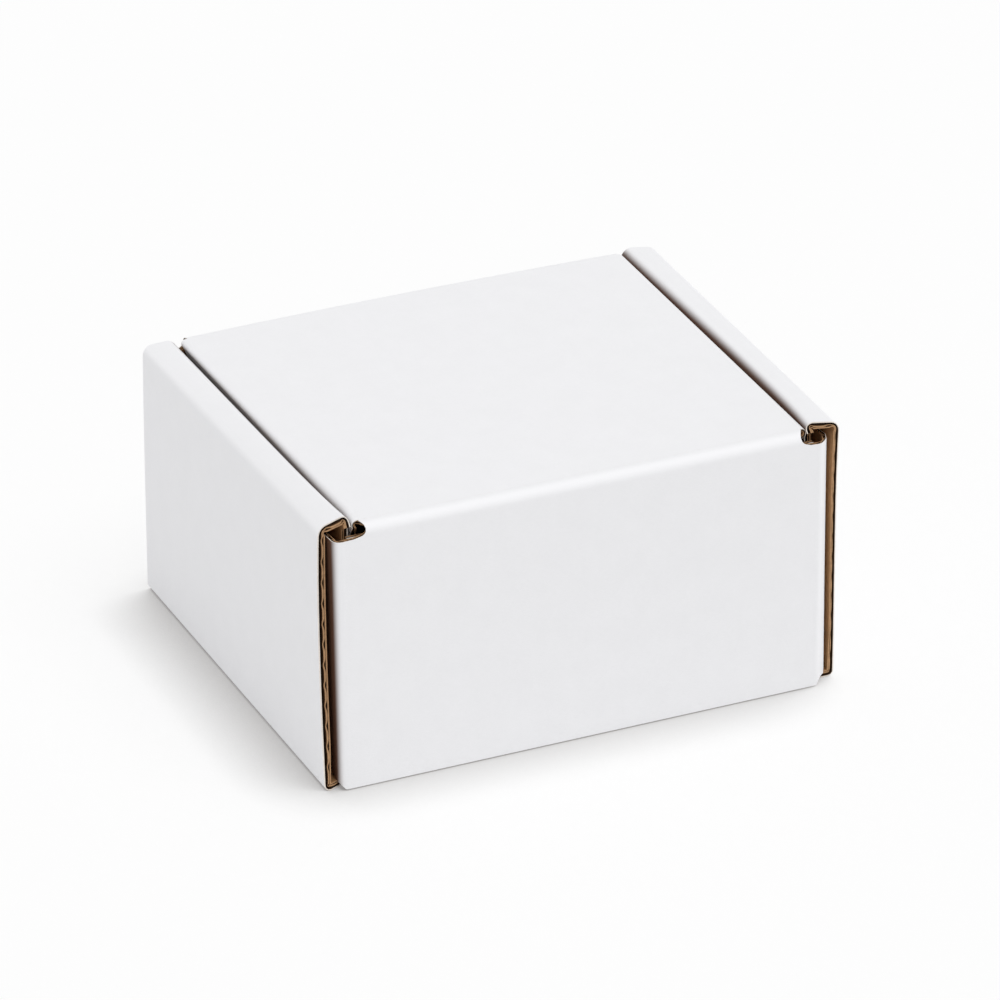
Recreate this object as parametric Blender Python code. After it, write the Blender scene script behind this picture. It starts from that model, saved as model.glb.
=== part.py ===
"""Corrugated mailer box, closed: a roll-end tray with a hinged lid, folded from one sheet.

The sheet is modelled as it is folded. Each panel is an outline drawn in its own flat frame, and
each crease carries that frame round an arc to the next panel. The surface that results is the
white outer face of the board, and Solidify gives the board its thickness on the kraft side.

The flutes between the two liners stand upright in the front flap and its ears. Each one is a
channel cut through the board, between the wave of the medium and one liner. The rest of the
sheet is solid board, which keeps the collision shapes round the inside of the box simple.

The front flap with its two locking ears is a second object, because it turns about the crease
at the front of the lid. The rest of the sheet is one object.

Metres, +Z up. The front faces -Y. The origin is on the floor, at the middle of the box.
"""

from collections import namedtuple
from math import ceil, cos, pi, radians, sin

import bmesh
import bpy
from mathutils import Vector

# Board
BOARD = 0.0014                  # thickness of the corrugated board
LINER = 0.00025                 # thickness of each liner
MEDIUM = 0.0002                 # thickness of the fluted medium
FLUTE_PITCH = 0.0043            # one full wave of the medium
FLUTE_STOP = 0.003              # flutes of the front flap end this far below its upper edge
FLUTE_MARKS = (-0.4, -0.3, -0.15, 0.0, 0.15, 0.3, 0.4)  # shares of the pitch from a flute's middle

# Outside sizes
OUTER_WIDTH = 0.112             # across the two outer side walls
TRAY_DEPTH = 0.090              # side walls' front edges to the back wall's outer face
SIDE_HEIGHT = 0.056             # floor to the top of the rolled side walls
LID_DROP = 0.0004               # lid's top face below the top of the rolled side walls
SHOULDER_DROP = 0.0031          # front and back walls' shoulders below the lid's top face

# Creases, as radii of the outer face
CREASE_RADIUS = 0.0018
ROLL_OUTER_RADIUS = 0.0024      # outer edge of a rolled wall
ROLL_INNER_RADIUS = 0.0017      # inner edge of a rolled wall
ROLL_SLOPE = radians(10.0)      # a rolled wall's top rises towards the lid
LID_EDGE_RADIUS = 0.0017        # lid into its dust flaps
FRONT_CREASE_RADIUS = 0.0022    # lid into the front flap
CREASE_STEPS = 8

# Corner flaps of the front and back walls, shut in between the side walls' two layers
CORNER_FLAP_LENGTH = 0.022
CORNER_FLAP_FOOT = 0.003        # crease's lower end above the floor
CORNER_FLAP_HEAD = 0.0045       # crease's upper end below the wall's shoulder
CORNER_FLAP_TAPER = 0.004
CORNER_FLAP_ROUNDING = 0.003

# Tabs at the foot of each inner wall, which lock in slots in the bottom
TAB_LENGTH = 0.012
TAB_SPACING = 0.044             # middle to middle
TAB_ROUNDING = 0.0006

INNER_STEP_START = 1 / 3        # share of an inner wall's slanted end step that is still full length

# Dust flaps of the lid, which hang inside the inner walls
DUST_FLAP_DEPTH = 0.024
DUST_FLAP_TAPER = 0.003
DUST_FLAP_ROUNDING = 0.006
LID_TONGUE = 0.0010             # plain cut edge of the lid behind each dust flap

# Front flap and its ears
NOTCH_DEPTH = 0.0005            # flap's top edge beside the lid, below the crease
NOTCH_REACH = 0.0030            # width over which that edge curves down
NOTCH_CURVE = (0.0, 0.6, 0.9, 1.0)  # shares of its depth at even steps over its reach
EAR_LENGTH = 0.024
EAR_FOOT_RISE = 0.0025          # slanted cut across the foot of the ear's crease
EAR_FOOT_TAPER = 0.011          # lower edge's rise towards the ear's tip
EAR_HEAD_TAPER = 0.0015         # upper edge's fall towards the ear's tip
EAR_ROUNDING = 0.007

# Clearances
PIECE_GAP = 0.0003              # between the front flap and the rest of the sheet
FLAP_STAND_OFF = 0.0004         # front flap's inner face to the tray's front wall
BOARD_GAP = 0.0001              # between two layers that are pressed together
EAR_ROOM = 0.0012               # outer side wall to the ear beside it
BACK_ROOM = 0.0003              # outer side wall to the back corner flap beside it
END_ROOM = 0.0006               # ends of inner walls and dust flaps to the front and back walls
LID_ROOM = 0.0006               # rolled wall to the lid
TAB_ROOM = 0.0003               # tab to the sides of its slot
FLOOR_ROOM = 0.0003             # feet of the tabs and of the front flap above the floor
SLIT = 0.0004                   # die-cut slit between a panel and the crease beside it
CREASE_HALF_GAP = radians(5.0)  # half of the split in the front crease

# Places that follow from the sizes, side to side
half_width = OUTER_WIDTH / 2
ear_face = half_width - BOARD - EAR_ROOM
front_wall_half = ear_face - BOARD - PIECE_GAP
back_wall_half = half_width - BOARD - BACK_ROOM
inner_wall_face = front_wall_half - BOARD - BOARD_GAP
roll_edge = inner_wall_face - BOARD
roll_width = half_width - roll_edge
lid_half = roll_edge - LID_ROOM

# Places that follow from the sizes, front to back
total_depth = TRAY_DEPTH + BOARD + FLAP_STAND_OFF
flap_front = -total_depth / 2
tray_front = flap_front + BOARD + FLAP_STAND_OFF
tray_back = tray_front + TRAY_DEPTH

# Places that follow from the sizes, up and down
lid_top = SIDE_HEIGHT - LID_DROP
shoulder_height = lid_top - SHOULDER_DROP

wave_height = BOARD - 2 * LINER - MEDIUM

Frame = namedtuple("Frame", "origin along out")
Run = namedtuple("Run", "start length frame angle radius")


def place(frame, point):
    """The spot of a flat point (u along the crease, v away from it) of a panel."""
    return frame.origin + frame.along * point[0] + frame.out * point[1]


def outward(frame):
    """The way that a panel's white face looks."""
    return frame.along.cross(frame.out)


def add_panel(bm, frame, outline):
    """One flat panel. Its outline runs anticlockwise, seen from its white face."""
    bm.faces.new([bm.verts.new(place(frame, point)) for point in outline])


def edge_frame(frame, start, end):
    """The frame of the crease along an outline's edge, with its length."""
    first = place(frame, start)
    last = place(frame, end)
    along = (first - last).normalized()
    return Frame(last, along, outward(frame).cross(along)), (first - last).length


def turned(frame, angle, radius):
    """The frame carried round a crease by an angle, towards the kraft side."""
    normal = outward(frame)
    new_normal = normal * cos(angle) + frame.out * sin(angle)
    new_out = frame.out * cos(angle) - normal * sin(angle)
    origin = frame.origin - normal * radius + new_normal * radius
    return Frame(origin, frame.along, new_out)


def fold(bm, frame, span, angle, radius, last_span=None):
    """The curved strip of a crease. Its two ends run straight from one span to the other."""
    last_span = last_span or span
    rings = []
    for step in range(CREASE_STEPS + 1):
        share = step / CREASE_STEPS
        ring = turned(frame, angle * share, radius)
        low = span[0] + (last_span[0] - span[0]) * share
        high = span[1] + (last_span[1] - span[1]) * share
        rings.append((place(ring, (low, 0)), place(ring, (high, 0))))
    for (low, high), (next_low, next_high) in zip(rings, rings[1:]):
        bm.faces.new([bm.verts.new(spot) for spot in (low, high, next_high, next_low)])
    return turned(frame, angle, radius)


def flat_run(runs, frame, length):
    """Adds a flat run to the path that flutes are laid across."""
    start = runs[-1].start + runs[-1].length if runs else 0
    runs.append(Run(start, length, frame, 0, 0))


def curved_run(runs, frame, angle, radius):
    """Adds the arc of a crease to the path that flutes are laid across."""
    start = runs[-1].start + runs[-1].length if runs else 0
    runs.append(Run(start, angle * radius, frame, angle, radius))


def path_point(runs, distance, across, depth):
    """The spot at a depth below the white face, at a distance along a path of runs."""
    run = [run for run in runs if run.start <= distance][-1]
    into = distance - run.start
    if run.angle:
        ring = turned(run.frame, into / run.radius, run.radius)
        return place(ring, (across, 0)) - outward(ring) * depth
    return place(run.frame, (across, into)) - outward(run.frame) * depth


def flute_outline(middle, on_kraft, bent):
    """Section (distance, depth) of one flute, between the wave of the medium and a liner.

    The wave side follows a cosine. The liner side gets points of its own only where it is bent.
    """
    outline = []
    for mark in FLUTE_MARKS:
        rise = wave_height * (1 + cos(2 * pi * mark)) / 2 if abs(mark) < FLUTE_MARKS[-1] else 0
        outline.append((middle + mark * FLUTE_PITCH, LINER + rise))
    if bent:
        outline += [(middle + mark * FLUTE_PITCH, LINER) for mark in FLUTE_MARKS[-2:0:-1]]
    if on_kraft:
        outline = [(distance, BOARD - depth) for distance, depth in outline]
    return outline


def add_flutes(flutes, runs, blank_start, low, high):
    """Cutters for the flutes across a path of runs, from low to high along the flutes.

    blank_start is the path's start on the flat blank, side to side from its middle, so that the
    wave goes on from panel to panel. Each end stands out a little, so that it cuts the edge open.
    """
    reach = FLUTE_MARKS[-1] * FLUTE_PITCH
    last = runs[-1].start + runs[-1].length
    low -= END_ROOM / 2
    high += END_ROOM / 2
    number = ceil((blank_start + reach) / (FLUTE_PITCH / 2))
    while number * FLUTE_PITCH / 2 - blank_start + reach <= last:
        middle = number * FLUTE_PITCH / 2 - blank_start
        start = middle - reach
        end = middle + reach
        bent = any(run.angle and run.start < end and run.start + run.length > start for run in runs)
        outline = flute_outline(middle, number % 2, bent)
        ends = [[flutes.verts.new(path_point(runs, distance, across, depth))
                 for distance, depth in outline] for across in (low, high)]
        flutes.faces.new(ends[0])
        flutes.faces.new(ends[1])
        for index in range(len(outline)):
            flutes.faces.new([ends[0][index - 1], ends[0][index], ends[1][index], ends[1][index - 1]])
        number += 1


def add_upright_flutes(flutes, frame, left, right, low, high):
    """Cutters for the flutes of the front flap, which run away from its crease."""
    runs = []
    turned_frame = Frame(place(frame, (right, 0)), frame.out, -frame.along)
    flat_run(runs, turned_frame, right - left)
    add_flutes(flutes, runs, (left - right) / 2, low, high)


def rounded(corners, steps=5):
    """An outline from corners (u, v, radius), each corner replaced by an arc of its radius."""
    outline = []
    for index, (u, v, radius) in enumerate(corners):
        corner = Vector((u, v))
        if radius == 0:
            outline.append((u, v))
            continue
        before = (Vector(corners[index - 1][:2]) - corner).normalized()
        after = (Vector(corners[(index + 1) % len(corners)][:2]) - corner).normalized()
        half_angle = before.angle(after) / 2
        reach = radius / sin(half_angle) * cos(half_angle)
        centre = corner + (before + after).normalized() * (radius / sin(half_angle))
        start = corner + before * reach - centre
        end = corner + after * reach - centre
        turn = start.angle(end)
        for step in range(steps + 1):
            share = step / steps
            arm = start * (sin(turn * (1 - share)) / sin(turn)) + end * (sin(turn * share) / sin(turn))
            outline.append(tuple(centre + arm))
    return outline


def mirrored(outline, length):
    """An outline turned round to run the other way along a crease of the given length."""
    return [(length - u, v) for u, v in reversed(outline)]


def slot_ends():
    """Where the two slots beside a side wall begin and end, front to back."""
    middle = (tray_front + tray_back) / 2
    half = TAB_LENGTH / 2 + TAB_ROOM
    first = middle - TAB_SPACING / 2
    second = middle + TAB_SPACING / 2
    return first - half, first + half, second - half, second + half


def add_bottom(bm, frame, front, back):
    """The bottom panel, slit at the ends of the front and back creases, with slots for the tabs.

    Two seams without thickness run from slit to slit through the slots, so that each face has one
    outline. The middle face holds the front and back creases, and the outer two the side creases.
    """
    side = half_width - CREASE_RADIUS
    front_line = tray_front + CREASE_RADIUS
    back_line = tray_back - CREASE_RADIUS
    near = inner_wall_face - BOARD - TAB_ROOM
    far = inner_wall_face + TAB_ROOM
    one, two, three, four = slot_ends()
    first = (front + SLIT, front_line)
    last = (back + SLIT, back_line)
    seam = [first, (far, one), (far, two), (far, three), (far, four), last]
    slotted = [first, (far, one), (near, one), (near, two), (far, two), (far, three), (near, three),
               (near, four), (far, four), last]
    outer = [(front + SLIT, tray_front), (side, tray_front), (side, tray_back),
             (back + SLIT, tray_back)] + seam[::-1]
    middle = [(-front, front_line), (front, front_line)] + slotted
    middle += [(back, back_line), (-back, back_line)] + [(-u, v) for u, v in slotted[::-1]]
    add_panel(bm, frame, middle)
    add_panel(bm, frame, outer)
    add_panel(bm, frame, [(-u, v) for u, v in outer[::-1]])


def add_side_wall(bm, bottom, start, end):
    """Outer wall, rolled top and inner wall with its tabs, up from one edge of the bottom."""
    frame, length = edge_frame(bottom, start, end)
    span = (0, length)
    frame = fold(bm, frame, span, pi / 2, CREASE_RADIUS)

    flat_top = roll_width - ROLL_OUTER_RADIUS * (1 - sin(ROLL_SLOPE))
    flat_top = (flat_top - ROLL_INNER_RADIUS * (1 + sin(ROLL_SLOPE))) / cos(ROLL_SLOPE)
    roll_foot = SIDE_HEIGHT - ROLL_OUTER_RADIUS * cos(ROLL_SLOPE) - flat_top * sin(ROLL_SLOPE)
    roll_foot -= ROLL_INNER_RADIUS * (1 - cos(ROLL_SLOPE))
    height = roll_foot - CREASE_RADIUS
    add_panel(bm, frame, [(0, 0), (length, 0), (length, height), (0, height)])

    frame = frame._replace(origin=place(frame, (0, height)))
    frame = fold(bm, frame, span, pi / 2 - ROLL_SLOPE, ROLL_OUTER_RADIUS)
    add_panel(bm, frame, [(0, 0), (length, 0), (length, flat_top), (0, flat_top)])
    frame = frame._replace(origin=place(frame, (0, flat_top)))
    frame = fold(bm, frame, span, pi / 2 + ROLL_SLOPE, ROLL_INNER_RADIUS)

    head = frame.origin.z
    foot = head - BOARD - TAB_ROOM
    step = head - shoulder_height - END_ROOM
    inset = BOARD + END_ROOM
    add_panel(bm, frame, inner_wall_outline(length, head, foot, step, inset))


def inner_wall_outline(length, head, foot, end_step, end):
    """The inner wall: stepped in at both ends to clear the front and back walls, two tabs below."""
    head_step = end_step * INNER_STEP_START
    tab_foot = head - FLOOR_ROOM
    low_edge = [(length - end, foot, 0)]
    for middle in (length / 2 + TAB_SPACING / 2, length / 2 - TAB_SPACING / 2):
        near = middle + TAB_LENGTH / 2
        far = middle - TAB_LENGTH / 2
        low_edge += [(near, foot, 0), (near, tab_foot, TAB_ROUNDING), (far, tab_foot, TAB_ROUNDING),
                     (far, foot, 0)]
    low_edge.append((end, foot, 0))
    corners = [(0, 0, 0), (length, 0, 0), (length, head_step, 0), (length - end, end_step, 0)]
    return rounded(corners + low_edge + [(end, end_step, 0), (0, head_step, 0)])


def corner_flap_outline(length):
    """A corner flap, tapered alike above and below."""
    tip = CORNER_FLAP_LENGTH - CREASE_RADIUS
    taper = CORNER_FLAP_TAPER
    return rounded([(0, 0, 0), (length, 0, 0), (length - taper, tip, CORNER_FLAP_ROUNDING),
                    (taper, tip, CORNER_FLAP_ROUNDING)])


def add_corner_flap(bm, wall, start, end):
    """A corner flap turned in from one upright edge of the front or back wall."""
    frame, length = edge_frame(wall, start, end)
    frame = fold(bm, frame, (0, length), pi / 2, CREASE_RADIUS)
    add_panel(bm, frame, corner_flap_outline(length))


def add_front_wall(bm, bottom, start, end):
    """The tray's front wall, behind the front flap, with its two corner flaps."""
    frame, length = edge_frame(bottom, start, end)
    frame = fold(bm, frame, (0, length), pi / 2, CREASE_RADIUS)
    foot = CORNER_FLAP_FOOT - CREASE_RADIUS
    top = shoulder_height - CREASE_RADIUS
    head = top - CORNER_FLAP_HEAD
    add_panel(bm, frame, [(0, 0), (length, 0), (length, foot), (length, head), (length, top),
                          (0, top), (0, head), (0, foot)])
    add_corner_flap(bm, frame, (length, foot), (length, head))
    add_corner_flap(bm, frame, (0, head), (0, foot))


def add_back_wall(bm, bottom, start, end):
    """The back wall with its corner flaps. Returns the frame and edge of the lid's crease."""
    frame, length = edge_frame(bottom, start, end)
    frame = fold(bm, frame, (0, length), pi / 2, CREASE_RADIUS)
    foot = CORNER_FLAP_FOOT - CREASE_RADIUS
    shoulder = shoulder_height - CREASE_RADIUS
    head = shoulder - CORNER_FLAP_HEAD
    top = lid_top - 2 * CREASE_RADIUS
    right = length / 2 + lid_half
    left = length / 2 - lid_half
    slope = top - shoulder
    add_panel(bm, frame, [(0, 0), (length, 0), (length, foot), (length, head), (length, shoulder),
                          (right + slope, shoulder), (right, top), (left, top),
                          (left - slope, shoulder), (0, shoulder), (0, head), (0, foot)])
    add_corner_flap(bm, frame, (length, foot), (length, head))
    add_corner_flap(bm, frame, (0, head), (0, foot))
    return frame, (right, top), (left, top)


def dust_flap_outline(length, head):
    """A dust flap of the lid, stepped in at both ends to clear the front and back walls."""
    step = BOARD + END_ROOM
    step_foot = head - shoulder_height + END_ROOM
    low = DUST_FLAP_DEPTH - LID_EDGE_RADIUS
    taper = step + DUST_FLAP_TAPER
    return rounded([(0, 0, 0), (length, 0, 0), (length - step, step_foot, 0),
                    (length - taper, low, DUST_FLAP_ROUNDING), (taper, low, DUST_FLAP_ROUNDING),
                    (step, step_foot, 0)])


def add_dust_flap(bm, lid, start, end):
    """A dust flap turned down from one side of the lid."""
    frame, length = edge_frame(lid, start, end)
    frame = fold(bm, frame, (0, length), pi / 2, LID_EDGE_RADIUS)
    add_panel(bm, frame, dust_flap_outline(length, frame.origin.z))


def add_lid(bm, wall, start, end):
    """The lid with its dust flaps. Returns the frame and length of the front crease."""
    frame, width = edge_frame(wall, start, end)
    frame = fold(bm, frame, (0, width), pi / 2, CREASE_RADIUS)
    length = frame.origin.y - (flap_front + FRONT_CREASE_RADIUS)
    inset = LID_EDGE_RADIUS
    near = LID_TONGUE + SLIT
    far = length - SLIT
    add_panel(bm, frame, [(0, 0), (width, 0), (width, LID_TONGUE), (width - inset, LID_TONGUE),
                          (width - inset, near), (width - inset, far), (width - inset, length),
                          (inset, length), (inset, far), (inset, near), (inset, LID_TONGUE),
                          (0, LID_TONGUE)])
    add_dust_flap(bm, frame, (width - inset, near), (width - inset, far))
    add_dust_flap(bm, frame, (inset, far), (inset, near))
    return edge_frame(frame, (width - inset, length), (inset, length))


def add_tray_and_lid(bm):
    """The fixed part of the sheet. Returns the frame and length of the front crease."""
    bottom = Frame(Vector((0, 0, 0)), Vector((-1, 0, 0)), Vector((0, 1, 0)))
    side = half_width - CREASE_RADIUS
    front = front_wall_half - CREASE_RADIUS
    back = back_wall_half - CREASE_RADIUS
    front_line = tray_front + CREASE_RADIUS
    back_line = tray_back - CREASE_RADIUS
    add_bottom(bm, bottom, front, back)
    add_side_wall(bm, bottom, (side, tray_front), (side, tray_back))
    add_side_wall(bm, bottom, (-side, tray_back), (-side, tray_front))
    add_front_wall(bm, bottom, (-front, front_line), (front, front_line))
    hinge = add_back_wall(bm, bottom, (back, back_line), (-back, back_line))
    crease, length = add_lid(bm, *hinge)
    fold(bm, crease, (0, length), pi / 4 - CREASE_HALF_GAP, FRONT_CREASE_RADIUS)
    return crease, length


def ear_outline(length):
    """A locking ear, drawn with the foot of its crease at u = 0 and its tip rounded."""
    tip = EAR_LENGTH - CREASE_RADIUS
    return rounded([(0, 0, 0), (length, 0, 0), (length - EAR_HEAD_TAPER, tip, EAR_ROUNDING),
                    (EAR_FOOT_TAPER, tip, EAR_ROUNDING)])


def add_ear_flutes(flutes, crease, frame, height):
    """Cutters for the flutes of an ear, whose crease starts at the first frame."""
    runs = []
    curved_run(runs, crease, pi / 2, CREASE_RADIUS)
    flat_run(runs, frame, EAR_LENGTH - CREASE_RADIUS)
    add_flutes(flutes, runs, ear_face - CREASE_RADIUS, 0, height)


def add_front_flap(bm, flutes, crease, length):
    """The front flap from the middle of its crease, with an ear turned back at each side."""
    frame = turned(crease, pi / 4 + CREASE_HALF_GAP, FRONT_CREASE_RADIUS)
    frame = fold(bm, frame, (0, length), pi / 4 - CREASE_HALF_GAP, FRONT_CREASE_RADIUS)
    reach = ear_face - CREASE_RADIUS - length / 2
    foot = frame.origin.z - FLOOR_ROOM
    left = -reach
    right = length + reach
    notch = [(NOTCH_REACH * step / (len(NOTCH_CURVE) - 1), NOTCH_DEPTH * share)
             for step, share in enumerate(NOTCH_CURVE)]
    outline = [(left, NOTCH_DEPTH)] + [(-u, v) for u, v in reversed(notch)]
    outline += [(length + u, v) for u, v in notch] + [(right, NOTCH_DEPTH), (right, foot), (left, foot)]
    add_panel(bm, frame, outline)
    add_upright_flutes(flutes, frame, left, right, FLUTE_STOP, foot)

    crease, height = edge_frame(frame, (right, NOTCH_DEPTH), (right, foot))
    outline = ear_outline(height - EAR_FOOT_RISE)
    ear = fold(bm, crease, (0, height), pi / 2, CREASE_RADIUS, (EAR_FOOT_RISE, height))
    add_panel(bm, ear._replace(origin=place(ear, (EAR_FOOT_RISE, 0))), outline)
    add_ear_flutes(flutes, crease, ear, height)

    crease, height = edge_frame(frame, (left, foot), (left, NOTCH_DEPTH))
    ear = fold(bm, crease, (0, height), pi / 2, CREASE_RADIUS, (0, height - EAR_FOOT_RISE))
    add_panel(bm, ear, mirrored(outline, height - EAR_FOOT_RISE))
    add_ear_flutes(flutes, crease, ear, height)


def board_material(name, colour, roughness):
    """A plain paper surface in one colour."""
    material = bpy.data.materials.new(name)
    material.use_nodes = True
    shader = material.node_tree.nodes["Principled BSDF"]
    shader.inputs["Base Color"].default_value = (*colour, 1.0)
    shader.inputs["Roughness"].default_value = roughness
    shader.inputs["Metallic"].default_value = 0.0
    return material


def mesh_object(name, bm, origin, materials):
    """An object at an origin from a bmesh, which is freed."""
    bmesh.ops.translate(bm, verts=bm.verts, vec=-origin)
    mesh = bpy.data.meshes.new(name)
    bm.to_mesh(mesh)
    bm.free()
    for material in materials:
        mesh.materials.append(material)
    made = bpy.data.objects.new(name, mesh)
    made.location = origin
    bpy.context.scene.collection.objects.link(made)
    return made


def sheet_object(name, bm, origin):
    """An object from the folded surface, given the board's thickness. Returns it."""
    materials = [board_material(name + "_white_liner", (0.83, 0.83, 0.84), 0.55),
                 board_material(name + "_kraft_liner", (0.48, 0.29, 0.12), 0.75)]
    bmesh.ops.remove_doubles(bm, verts=bm.verts, dist=1e-6)
    sheet = mesh_object(name, bm, origin, materials)
    board = sheet.modifiers.new("board", "SOLIDIFY")
    board.thickness = BOARD
    board.offset = -1.0
    board.use_even_offset = True
    board.use_quality_normals = True
    board.material_offset = 1
    board.material_offset_rim = 1
    return sheet


def cut_flutes(sheet, flutes):
    """Cuts the flutes out of a sheet."""
    bmesh.ops.recalc_face_normals(flutes, faces=flutes.faces)
    for face in flutes.faces:
        face.material_index = 1
    cutter = mesh_object("flutes", flutes, sheet.location, sheet.data.materials)
    cut = sheet.modifiers.new("flutes", "BOOLEAN")
    cut.operation = "DIFFERENCE"
    cut.solver = "EXACT"
    cut.object = cutter
    bpy.context.view_layer.update()
    evaluated = sheet.evaluated_get(bpy.context.evaluated_depsgraph_get())
    sheet.data = bpy.data.meshes.new_from_object(evaluated)
    sheet.modifiers.clear()
    bpy.data.objects.remove(cutter)


def main():
    for old in list(bpy.data.objects):
        bpy.data.objects.remove(old)

    tray = bmesh.new()
    crease, length = add_tray_and_lid(tray)
    sheet_object("tray_and_lid", tray, Vector((0, 0, 0)))

    flap = bmesh.new()
    flutes = bmesh.new()
    add_front_flap(flap, flutes, crease, length)
    hinge = turned(crease, pi / 4, FRONT_CREASE_RADIUS).origin
    cut_flutes(sheet_object("front_flap", flap, Vector((0, hinge.y, hinge.z))), flutes)


main()
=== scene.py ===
"""Looks of the closed mailer box: each layer of its corrugated board, folded up from the flat blank.

The board has a white-topped outer liner, a fluted medium and a kraft inner liner. Every panel is a
ribbon: a grid over the flat blank, carried along a path of flat runs and folds. The three layers
of a ribbon share that path and differ only in their depth below the white face.

Metres, +Z up. The front faces -Y, and the origin is on the floor at the middle of the box.
"""

from collections import namedtuple
from math import cos, pi, radians, sin, sqrt
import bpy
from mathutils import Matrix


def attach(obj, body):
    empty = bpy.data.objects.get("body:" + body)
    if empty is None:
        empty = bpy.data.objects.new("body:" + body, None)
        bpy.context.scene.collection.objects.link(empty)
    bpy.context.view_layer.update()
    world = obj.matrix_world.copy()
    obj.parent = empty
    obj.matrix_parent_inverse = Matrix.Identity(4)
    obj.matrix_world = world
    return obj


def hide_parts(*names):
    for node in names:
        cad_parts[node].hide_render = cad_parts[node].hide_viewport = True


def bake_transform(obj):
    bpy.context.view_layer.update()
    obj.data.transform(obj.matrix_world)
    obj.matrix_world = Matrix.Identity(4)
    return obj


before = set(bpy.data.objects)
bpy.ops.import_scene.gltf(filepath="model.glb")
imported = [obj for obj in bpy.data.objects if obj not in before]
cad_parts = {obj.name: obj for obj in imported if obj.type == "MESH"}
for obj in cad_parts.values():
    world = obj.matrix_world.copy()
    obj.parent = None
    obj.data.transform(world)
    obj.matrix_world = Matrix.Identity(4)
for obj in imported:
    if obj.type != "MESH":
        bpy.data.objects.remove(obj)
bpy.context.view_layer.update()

from types import SimpleNamespace

import bpy
import numpy as np
from mathutils import Matrix, Vector

bl_info = {
    "name": "Corrugated mailer box",
    "version": (1, 0, 0),
    "blender": (4, 5, 0),
    "location": "View3D > Sidebar > Mailer",
    "description": "Builds a closed roll-end mailer box from the layers of its board",
    "category": "Add Mesh",
}

# The three layers of the board, and the materials of a piece, which start with theirs
WHITE, KRAFT, MEDIUM = range(3)
WHITE_CUT, BROWN_CUT = 3, 4

# A chain is a path of flat runs and folds with the place where it starts. flutes_along says that
# the flutes run along the path, and group says how the photographed box springs there. crush is the
# share of the thickness lost in its folds, gap_from the heading from which its white face turns
# into a narrow gap, and wave the share of the flutes' height that is left. A ribbon is a piece of
# blank: its chain and the rows (along, low, high) of its outline.
NO_GAP_SHADE = 10.0                   # a heading that no face reaches, so that no face takes the painted gap shade
PLAIN_CRUSH = 0.22
Chain = namedtuple("Chain", "origin across out path flutes_along blank group crush gap_from wave",
                   defaults=("panel", PLAIN_CRUSH, NO_GAP_SHADE, 1.0))
Ribbon = namedtuple("Ribbon", "chain rows")


def length_of(name, description, metres, precision=5):
    """A property for a length."""
    return bpy.props.FloatProperty(name=name, description=description, default=metres,
                                   unit="LENGTH", precision=precision)


def share_of(name, description, share, low=0.0, high=1.0):
    """A property for a share."""
    return bpy.props.FloatProperty(name=name, description=description, default=share, min=low,
                                   max=high, subtype="FACTOR")


def number_of(name, description, value, low=0.0):
    """A property for a plain number."""
    return bpy.props.FloatProperty(name=name, description=description, default=value, min=low)


def angle_of(name, description, degrees):
    """A property for an angle."""
    return bpy.props.FloatProperty(name=name, description=description,
                                   default=radians(degrees), subtype="ANGLE")


def colour_of(name, description, hex_colour):
    """A property for an sRGB hex colour."""
    return bpy.props.StringProperty(name=name, description=description + ", sRGB hex",
                                    default=hex_colour)


def spring_of(name, millimetres):
    """A property for how far one corner springs, towards +X, +Y and +Z."""
    return bpy.props.FloatVectorProperty(
        name=name, description="How far this corner springs from its ideal place",
        default=tuple(part / 1000 for part in millimetres), subtype="TRANSLATION", unit="LENGTH",
        precision=5)


class BoardSettings(bpy.types.PropertyGroup):
    """The corrugated board and its colours."""

    thickness: length_of("Board", "Thickness of the whole board", 0.0014)
    liner: length_of("Liner", "Thickness of each liner", 0.00024)
    top_ply: length_of("White ply", "Depth of the bleached ply on the outer liner", 0.00013)
    medium: length_of("Medium", "Thickness of the fluted medium on the kraft liner", 0.00030)
    flute_pitch: length_of("Flute pitch", "Length of one full wave of the medium", 0.0043)
    crush: share_of(
        "Crush", "Share of the thickness lost in the creases beside the lid", 0.5, high=0.6)
    flare_left: share_of(
        "Left flare", "Share by which the left wall's front cut edge opens up", 0.25, low=-0.4,
        high=0.4)
    flare_right: share_of(
        "Right flare", "Share by which the right wall's front cut edge opens up", -0.18, low=-0.4,
        high=0.4)
    corner_crush: share_of(
        "Corner crush", "Share of the thickness lost round the lid's front corners", 0.35, high=0.6)
    white: colour_of("White liner", "Colour of the bleached top ply", "#F2F2F4")
    # painted highlight: the paler white that the creases take where their folds catch the light
    crease: colour_of("White crease", "Colour of the white ply burnished by a fold", "#FCFCFE")
    # painted shade: the dark brown that the white face takes where it turns into a narrow gap
    gap: colour_of("White in a gap", "Colour of the white face in a narrow gap", "#55392A")
    kraft: colour_of("Kraft liner", "Colour of the unbleached liner", "#B58A60")
    # painted shade: the fluting's own brown, darkened further for the shade inside the flutes; the
    # liners' faces towards the flutes take it too
    fluting: colour_of("Fluting", "Colour inside the flutes", "#4E3520")
    brown_cut: colour_of("Brown cut edge", "Colour of cut brown paper", "#B48E69")
    white_cut: colour_of("White cut edge", "Colour of the cut white ply", "#EFE6DC")


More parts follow.
